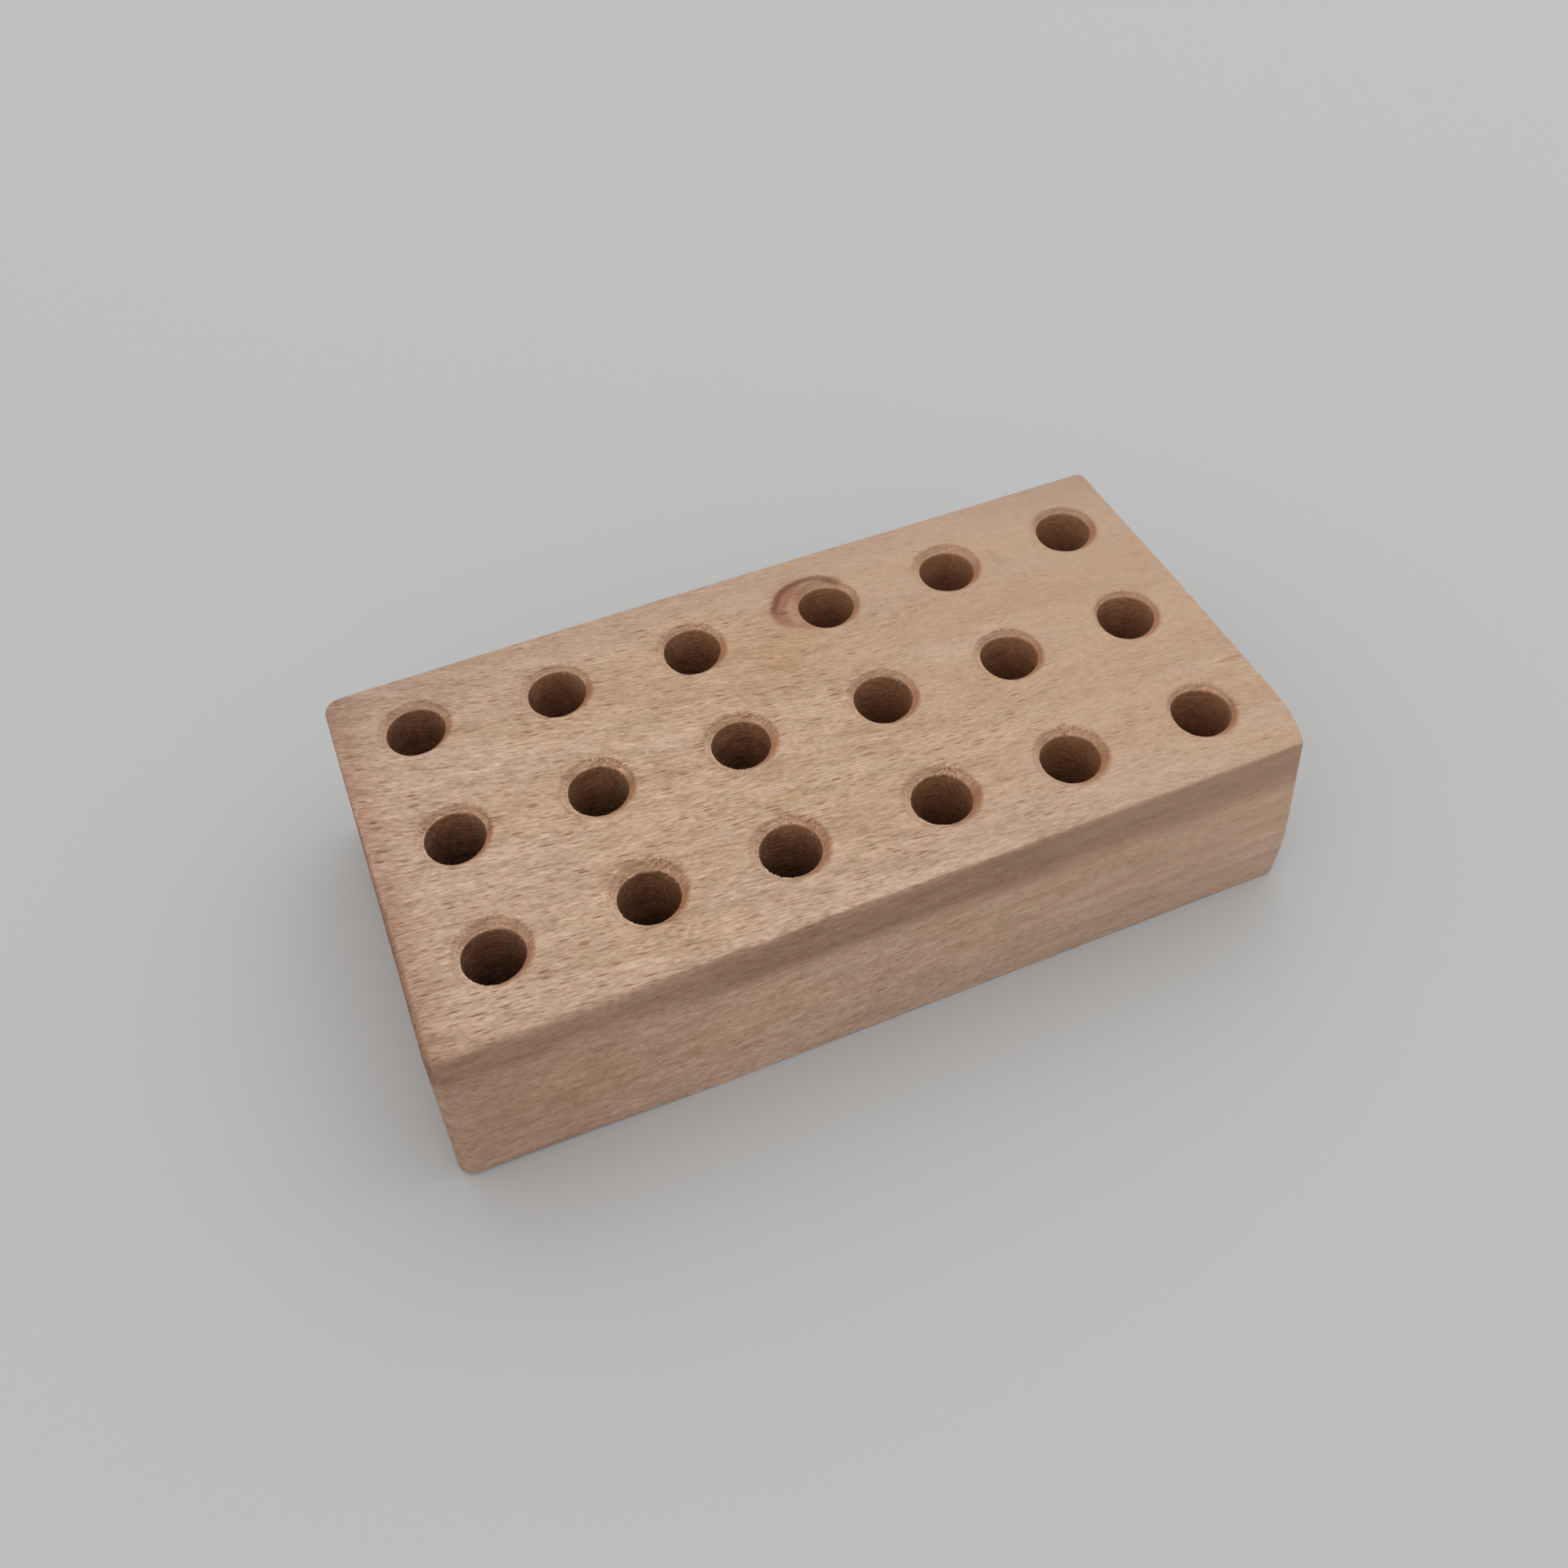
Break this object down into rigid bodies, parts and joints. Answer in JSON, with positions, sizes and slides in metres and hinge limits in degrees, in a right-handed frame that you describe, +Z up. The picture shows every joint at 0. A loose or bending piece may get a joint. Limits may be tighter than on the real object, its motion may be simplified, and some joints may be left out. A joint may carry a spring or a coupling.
{
  "type": "dop stand",
  "caption": "Rectangular hardwood block with rows of chamfered blind sockets in its top, which hold lapidary dop sticks upright.",
  "frame": {"origin": "middle of the underside", "axes": "+X along the block's length to the right, +Y from the front long side to the back, +Z up"},
  "size_m": [0.1, 0.0524, 0.0215],
  "materials": {
    "beech": "bare sanded hardwood"
  },
  "bodies": {
    "root": {"dop_block": "beech"}
  },
  "joints": []
}
